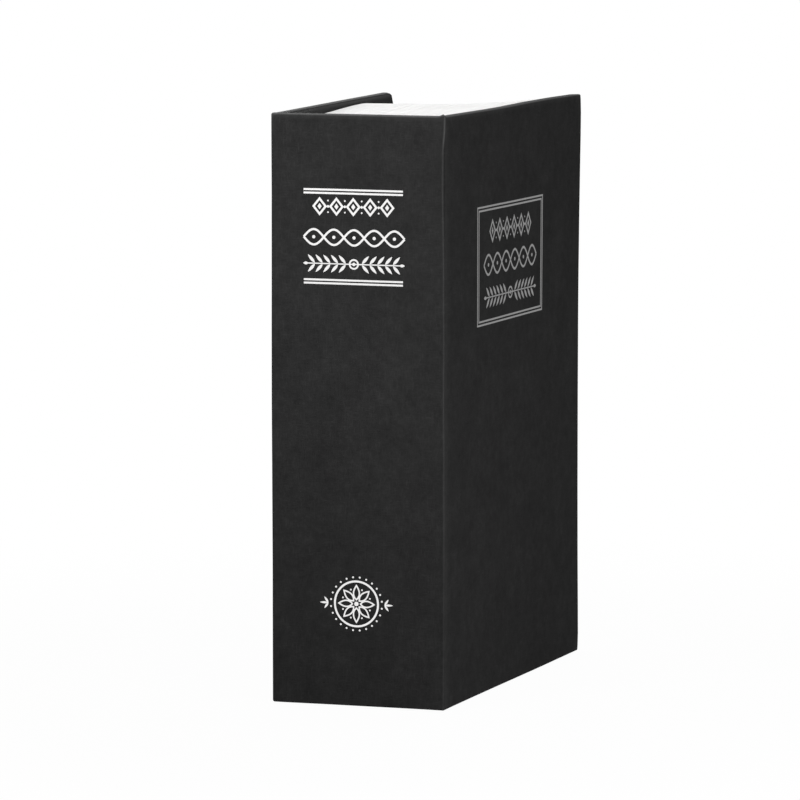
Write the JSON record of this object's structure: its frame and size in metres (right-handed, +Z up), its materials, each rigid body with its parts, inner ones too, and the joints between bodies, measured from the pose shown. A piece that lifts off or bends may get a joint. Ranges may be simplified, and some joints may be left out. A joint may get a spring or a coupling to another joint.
{
  "type": "book diversion safe",
  "caption": "Hardcover book shape whose page block holds a steel box with a hinged lid and a cam lock; the spine and front cover swing open to reach it.",
  "frame": {"origin": "middle of the base of the standing book, with the front cover ajar as in the picture", "axes": "+Z up to the head of the book, -Y towards the spine, +X towards the front cover"},
  "size_m": [0.065, 0.115, 0.18],
  "materials": {
    "cover_paper": "matte",
    "greyboard": "matte",
    "lining_paper": "matte",
    "page_plastic": "matte",
    "box_steel": "satin",
    "zinc_steel": "satin",
    "lock_nickel": "polished",
    "lock_brass": "satin"
  },
  "bodies": {
    "block": {"back_wrap": "cover_paper", "back_board": "greyboard", "back_endpaper": "lining_paper", "page_frame": "page_plastic", "box_tray": "box_steel", "hinge_pin": "zinc_steel", "box_rivet_1": "zinc_steel", "box_rivet_2": "zinc_steel", "box_rivet_3": "zinc_steel", "box_rivet_4": "zinc_steel", "strike_bracket": "box_steel"},
    "spine": {"spine_wrap": "cover_paper", "spine_board": "greyboard", "spine_lining": "lining_paper", "front_joint": "cover_paper", "back_joint": "cover_paper"},
    "front_cover": {"front_wrap": "cover_paper", "front_board": "greyboard", "front_endpaper": "lining_paper"},
    "lid": {"box_lid": "box_steel", "lock_housing": "lock_nickel", "lock_washer": "zinc_steel", "lock_nut": "lock_brass"},
    "key_plug": {"lock_plug": "lock_nickel", "lock_wafer_1": "lock_brass", "lock_wafer_2": "lock_brass", "lock_wafer_3": "lock_brass", "lock_wafer_4": "lock_brass", "lock_cam": "zinc_steel", "cam_washer": "zinc_steel", "cam_screw": "zinc_steel"}
  },
  "joints": [
    {"name": "spine_hinge", "type": "hinge", "parent": "block", "child": "spine", "pos_m": [-0.03238, -0.05738, 0.09], "axis": [0, 0, -1], "range_deg": [0, 90], "deforming": ["back_joint"]},
    {"name": "cover_hinge", "type": "hinge", "parent": "spine", "child": "front_cover", "pos_m": [0.02237, -0.05738, 0.09], "axis": [0, 0, -1], "range_deg": [-5, 175], "deforming": ["front_joint"]},
    {"name": "lid_hinge", "type": "hinge", "parent": "block", "child": "lid", "pos_m": [0.01491, -0.04978, 0.09], "axis": [0, 0, -1], "range_deg": [0, 99]},
    {"name": "key_turn", "type": "hinge", "parent": "lid", "child": "key_plug", "pos_m": [0.018, 0.0283, 0.09], "axis": [-1, 0, 0], "range_deg": [0, 90]}
  ],
  "couplings": [
    {"joint": "lid_hinge", "follows": "spine_hinge", "ratio": 1.1}
  ]
}
